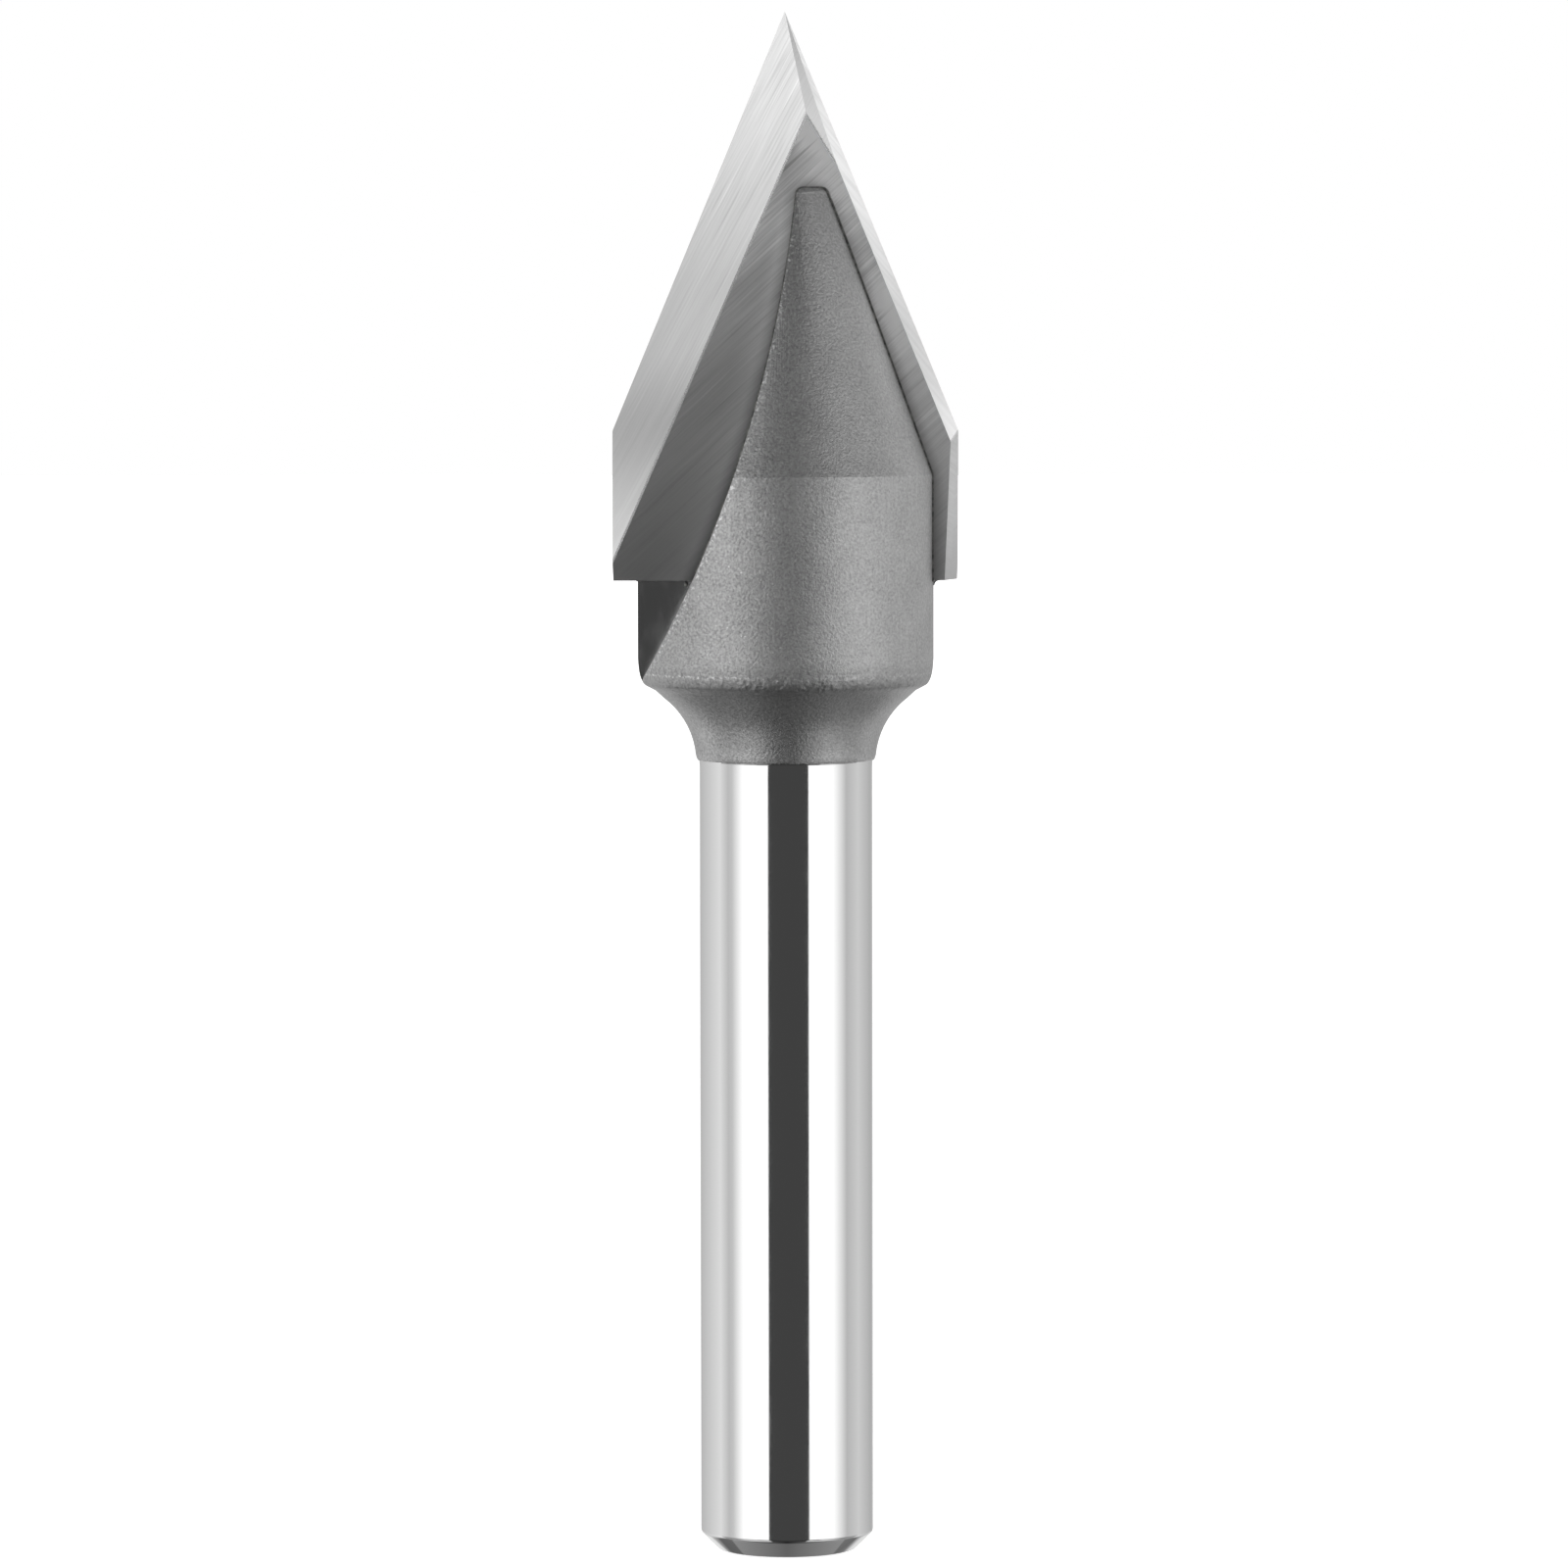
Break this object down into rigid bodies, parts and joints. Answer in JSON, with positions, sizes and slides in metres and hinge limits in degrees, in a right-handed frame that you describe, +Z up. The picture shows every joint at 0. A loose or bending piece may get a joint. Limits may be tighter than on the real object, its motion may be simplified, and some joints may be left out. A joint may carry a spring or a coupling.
{
  "type": "v-groove router bit",
  "caption": "Straight-shank router bit with a waisted neck and a conical head slotted for a pointed flat carbide blade, for cutting V-shaped grooves and bevels in wood.",
  "frame": {"origin": "centre of the shank's end face", "axes": "+Z up the shank to the point, X across the carbide blade's width, Y through its thickness"},
  "size_m": [0.0126, 0.0108, 0.0566],
  "materials": {
    "blasted_steel": "blasted grey on the head and neck, ground bright on the shank",
    "ground_carbide": "ground, with fine wheel marks",
    "silver_braze": "dull as cooled"
  },
  "bodies": {
    "root": {"steel_body": "blasted_steel", "carbide_blade": "ground_carbide", "braze": "silver_braze"}
  },
  "joints": []
}
